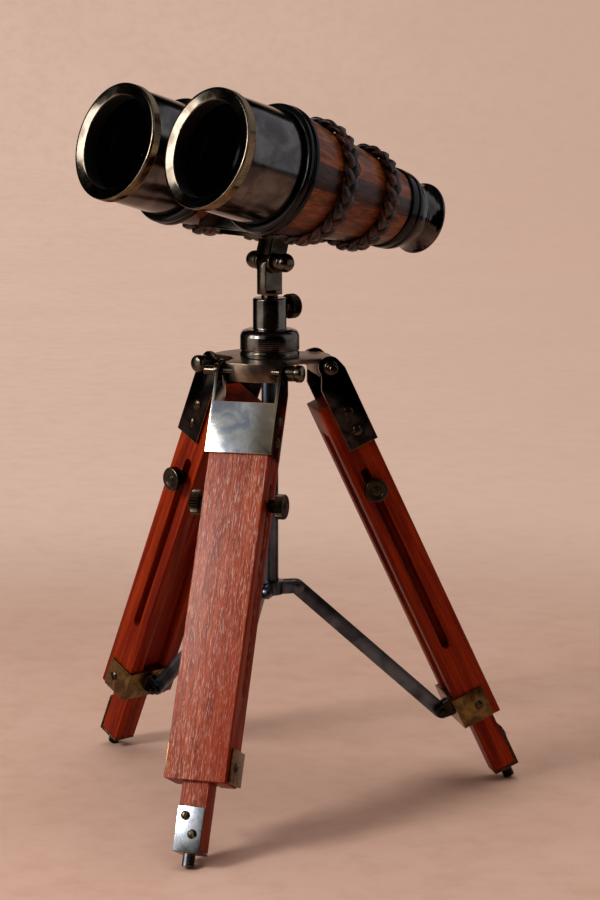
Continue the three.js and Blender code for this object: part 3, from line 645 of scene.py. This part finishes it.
def build_glasses():
    for side in SIDES:
        build_optics(side)
        for index, (station, width) in enumerate(CORDS, 1):
            plait(f"plaited_cord_{side}_{index}", f"cord_band_{side}_{index}", side, station, width)
    shaped("yoke", "glasses", YOKE, DARK_BRONZE, 0.35)
    shaped("front_bridge", "glasses", MIDDLE, GUNMETAL, 0.5)
    shaped("rear_bridge", "glasses", MIDDLE, GUNMETAL, 0.5)
    shaped("eyepiece_bridge", "eyepieces", MIDDLE, GUNMETAL, 0.4)
    turned("milled_focus_wheel", [
        (0, -51.8), (2.6, -51.8), (2.6, -16), (5.9, -16), (6.5, -15.5), (6.5, -12.4), (5.9, -12.1),
        (5.9, -11.9), (6.5, -11.6), (6.5, -8.5), (5.9, -8), (2.6, -8), (2.6, 18.9), (3.8, 18.9),
        (4, 19.2), (4, 20.9), (3.7, 21.2), (0, 21.2),
    ], MIDDLE, "focus", KNOB_STEEL, 0.2, 0, "focus_shaft", "knob_steel",
        teeth=44, toothed=(-16, -8, 6.2), depth=0.45)
    side = across_frame(YOKE, 1)
    turned("tilt_bolt_round", [
        (0, -14), (2, -13.75), (3.2, -12.9), (3.9, -11.6), (4.15, -10.2), (4.15, -5.5), (3.9, -5.4),
        (1.7, -5.4), (1.7, 11.1), (0, 11.1),
    ], side, "glasses", BRONZE, 0.3, 48, "tilt_bolt", "bronze")
    turned("tilt_knob_round", [
        (0, 14.3), (2, 14.05), (3.3, 13.4), (4.1, 12.2), (4.3, 11.3), (4.3, 10), (4.05, 9.6),
        (3.4, 9.4), (3.8, 9), (3.8, 5.7), (3.6, 5.4), (1.85, 5.4), (1.85, 11.4), (0, 11.4),
    ], side, "tilt_turn", BRONZE, 0.25, 48, "tilt_knob", "bronze")


# ---- the stand ------------------------------------------------------------------------

def slotted_head(bm, spot, out, along, radius, rise):
    """A domed screw head with a slot: two half domes standing on a thin disc."""
    out, along = Vector(out).normalized(), Vector(along).normalized()
    across = out.cross(along)
    slot, rings, steps, sides = radius * 0.2, 4, 14, 28
    sunk, rim = 0.3, 0.35
    base = Vector(spot) - out * sunk

    def point(x, y, z):
        return bm.verts.new(base + along * x + across * y + out * z)

    def dome_height(distance):
        share = min(distance / radius, 1.0)
        return sunk + rim + (rise - rim) * math.sqrt(1 - share ** 2 * 0.96) - rise * 0.19

    for turn in (1, -1):
        edge = []
        start = math.asin(slot / radius)
        for i in range(steps + 1):
            angle = start + (math.pi - 2 * start) * i / steps
            edge.append((radius * math.cos(angle), radius * math.sin(angle)))
        layers = []
        for ring in range(rings):
            share = 1 - ring / rings
            layer = []
            for x, y in edge:
                px, py = x * share, slot + (y - slot) * share
                layer.append(point(px, turn * py, dome_height(math.hypot(px, py))))
            layers.append(layer)
        floor = [point(x, turn * y, 0) for x, y in edge]
        crown = point(0, turn * slot, dome_height(slot))
        for low, high in zip([floor] + layers, layers):
            for i in range(steps):
                bm.faces.new((low[i], low[i + 1], high[i + 1], high[i]))
        for i in range(steps):
            bm.faces.new((layers[-1][i], layers[-1][i + 1], crown))
        wall = [floor[0]] + [layer[0] for layer in layers] + [crown]
        wall += [layer[-1] for layer in reversed(layers)] + [floor[-1]]
        bm.faces.new(wall)
    low, high = [[point(x, y, z) for x, y in circle(radius * 0.97, sides)] for z in (-0.1, 0.42)]
    for i in range(sides):
        j = (i + 1) % sides
        bm.faces.new((low[i], low[j], high[j], high[i]))
    bm.faces.new(high)
    bm.faces.new(list(reversed(low)))


def build_leg_screws(k):
    """The small wood screws, which the CAD part leaves out; their slots point every way."""
    bm = bmesh.new()
    for sign in (-1, 1):
        for count, spot in enumerate(BRACKET_SCREWS):
            lean = 0.5 + 0.9 * count + 0.4 * sign + k
            slotted_head(bm, (sign * STRAP_FACE, *spot), (sign, 0, 0),
                         (0, math.cos(lean), math.sin(lean)), 2.3, 1.3)
        slotted_head(bm, (sign * STRAP_FACE, *STRAP_SCREW), (sign, 0, 0),
                     (0, math.cos(0.7 * k), math.sin(0.7 * k)), 2.2, 1.2)
    add_object(f"strap_screws_{k}", bm, LEG[k], f"leg_{k}", KNOB_STEEL)
    bm = bmesh.new()
    for x, z, lean in FOOT_SCREWS:
        slotted_head(bm, (x, -FOOT_FACE, z), (0, -1, 0),
                     (math.cos(lean + k), 0, math.sin(lean + k)), 2.1, 1.1)
    add_object(f"foot_screws_{k}", bm, LEG[k], f"shin_{k}", KNOB_STEEL)


def build_leg(k):
    place, leg, shin = LEG[k], f"leg_{k}", f"shin_{k}"
    shaped(f"outer_leg_{k}", leg, place, MAHOGANY, 0.45)
    shaped(f"inner_leg_{k}", shin, place, MAHOGANY, 0.35)
    shaped(f"leg_bracket_{k}", leg, place, SILVERED, 0.3)
    shaped(f"leg_strap_{k}", leg, place, BRASS, 0.3)
    shaped(f"foot_{k}", shin, place, FOOT_SILVER, 0.25)
    shaped(f"brace_{k}", f"brace_{k}", place, STEEL, 0.2)
    hinge = axis_frame(JOINTS[f"leg_fold_{k}"]["pos_m"], place.to_3x3().col[0], (0, 0, 1))
    turned(f"hinge_bolt_round_{k}", [
        (0, 24.1), (2.2, 23.95), (3.3, 23.5), (3.85, 22.8), (3.95, 22.2), (3.95, 20.6), (3.6, 20.2),
        (3.3, 19.9), (3.6, 19.5), (3.6, 15.9), (3.4, 15.6), (2, 15.6), (2, -15.6), (3.1, -15.6),
        (3.2, -15.9), (3.2, -17.6), (3, -17.9), (2, -17.9), (2, -22.6), (1.7, -22.9), (0, -22.9),
    ], across_frame(hinge, 1), "root", BRONZE, 0.2, 48, f"hinge_bolt_{k}", "bronze")
    for name, body, along in (("screw", f"clamp_{k}", 1), ("nut", shin, -1)):
        across = across_frame(place, along, -CLAMP_U, -CLAMP_L)
        head = [
            (0, 22.3), (1.5, 22.3), (1.7, 22.1), (1.75, 21.5), (3, 21.5), (3.3, 21.9), (5.1, 21.9),
            (5.6, 21.4), (5.6, 18), (5.1, 17.5), (3, 17.5), (3, 14.4), (2.8, 14.1),
        ]
        if name == "screw":
            profile = head + [(1.7, 14.1), (1.7, -19.1), (0, -19.1)]
        else:
            profile = head + [(1.85, 14.1), (1.85, 19.6), (0, 19.6)]
        knurled_knob(f"clamp_{name}_milled_{k}", body, across, profile, (17.6, 21.7, 5.3),
                     f"clamp_{name}_{k}")
    build_leg_screws(k)


def build_stand():
    for k in LEGS:
        build_leg(k)
    shaped("head_plate", "root", STAND, HEAD_BRONZE, 0.4)
    shaped("swivel_post", "swivel", SWIVEL, BRONZE, 0.4)
    shaped("spider_hub", "hub", STAND, STEEL, 0.2)
    foot, rim = PLATE_TOP + 0.3, STEM_RADIUS
    turned("drum", [
        (0, foot), (rim, foot), (rim, foot + 2.3), (rim - 0.45, foot + 2.6),
        (rim - 0.45, foot + 2.9), (rim, foot + 3.2), (rim, 216), (rim - 0.35, 217.4),
        (rim - 1.2, 218.6), (rim - 3, 219.3), (7.9, 219.5), (7.7, 219.9), (7.7, 233), (7.2, 233.5),
        (6.4, 233.6), (3.95, 233.6), (3.95, 212.7), (0, 212.7),
    ], STAND, "root", DRUM_BRONZE, 0.25, 96, "stem_base", "bronze")
    turned("round_rod", [(0, 96.4), (3.5, 96.4), (3.85, 96.8), (3.85, 204.05), (0, 204.05)],
           STAND, "root", STEEL, 0.1, 48, "centre_rod", "blued_steel")
    knurled_knob("lock_screw_milled", "lock", LOCK, [
        (0, 15.2), (5.2, 15.2), (5.7, 14.7), (5.7, 11), (5.2, 10.5), (3.2, 10.5), (3.2, 8.2),
        (3, 8), (1.4, 8), (1.4, 4.1), (0, 4.1),
    ], (10.6, 15, 5.4), "lock_screw")


# ---- studio ---------------------------------------------------------------------------

def build_floor():
    """A floor that sweeps up into a round wall, the same from every side."""
    bm = bmesh.new()
    sides = 96
    profile = [
        (0, 0), (1.2, 0), (2.6, 0), (3.1, 0.08), (3.5, 0.36), (3.75, 0.85), (3.8, 1.5), (3.8, 3.2),
    ]
    rings = []
    for radius, height in profile:
        if radius == 0:
            rings.append([bm.verts.new((0, 0, height))])
        else:
            rings.append([bm.verts.new((x, y, height)) for x, y in circle(radius, sides)])
    for low, high in zip(rings, rings[1:]):
        for i in range(sides):
            j = (i + 1) % sides
            corners = [low[i % len(low)], high[i], high[j], low[j % len(low)]]
            bm.faces.new(list(dict.fromkeys(corners)))
    mesh = bpy.data.meshes.new("studio_floor")
    bm.to_mesh(mesh)
    bm.free()
    mesh.polygons.foreach_set("use_smooth", [True] * len(mesh.polygons))
    mesh.materials.append(PAPER)
    floor = bpy.data.objects.new("studio_floor", mesh)
    bpy.context.scene.collection.objects.link(floor)


def area_light(name, azimuth, height, distance, size, radiance, tint=(1, 1, 1), mirrored=True,
               lit=True):
    """A soft light round the stand; azimuth counts from the camera's side, to its right."""
    data = bpy.data.lights.new(name, "AREA")
    data.shape, data.size, data.size_y = "RECTANGLE", size[0], size[1]
    data.energy, data.color = radiance * math.pi * size[0] * size[1], tint
    light = bpy.data.objects.new(name, data)
    bearing = CAMERA_BEARING + math.radians(azimuth)
    centre = STAND.translation + Vector((0, 0, 0.16))
    spot = centre + Vector((math.sin(bearing), -math.cos(bearing), 0)) * distance
    spot.z = height
    light.location = spot
    light.rotation_euler = (centre - spot).to_track_quat("-Z", "Y").to_euler()
    light.visible_glossy, light.visible_diffuse = mirrored, lit
    bpy.context.scene.collection.objects.link(light)


def dim_world():
    """Even soft light for matt surfaces, and near darkness for mirror ones, as in a dark studio."""
    world = bpy.data.worlds.new("studio")
    world.use_nodes = True
    tree = world.node_tree
    background = tree.nodes["Background"]
    background.inputs["Color"].default_value = (1.0, 0.93, 0.88, 1)
    path = tree.nodes.new("ShaderNodeLightPath")
    dim = tree.nodes.new("ShaderNodeMapRange")
    dim.inputs["To Min"].default_value, dim.inputs["To Max"].default_value = 0.4, 0.025
    tree.links.new(path.outputs["Is Glossy Ray"], dim.inputs["Value"])
    tree.links.new(dim.outputs[0], background.inputs["Strength"])
    bpy.context.scene.world = world


def build_studio():
    build_floor()
    dim_world()
    area_light("key", -54, 0.66, 0.95, (0.26, 0.32), 30, (1.0, 0.98, 0.95))
    area_light("overhead", 150, 1.5, 0.12, (1.0, 1.0), 2.6, (1.0, 0.97, 0.94), mirrored=False)
    area_light("scrim", -42, 0.85, 1.1, (0.9, 0.8), 0.75, (0.95, 0.97, 1.0), lit=False)
    area_light("left_panel", -77, 0.63, 0.9, (0.3, 0.5), 9, (0.86, 0.93, 1.0), lit=False)
    area_light("bounce", -70, 0.2, 1.0, (0.9, 0.4), 1.1, (1.0, 0.93, 0.9), lit=False)
    area_light("right_panel", 100, 0.55, 0.95, (1.6, 1.3), 0.58, (0.9, 0.9, 1.0), lit=False)
    area_light("right_fill", 100, 0.55, 0.94, (1.6, 1.1), 0.12, (0.84, 0.91, 1.0), mirrored=False)
    data = bpy.data.cameras.new("camera")
    data.lens, data.sensor_width = CAMERA_LENS, 36
    data.clip_start, data.clip_end = 0.05, 20
    camera = bpy.data.objects.new("camera", data)
    camera.location = STAND.translation + Vector(CAMERA_SPOT)
    camera.rotation_euler = CAMERA_TURN
    bpy.context.scene.collection.objects.link(camera)
    bpy.context.scene.camera = camera
    bpy.context.scene.view_settings.view_transform = "Standard"


build_glasses()
build_stand()
build_studio()
bpy.context.view_layer.update()
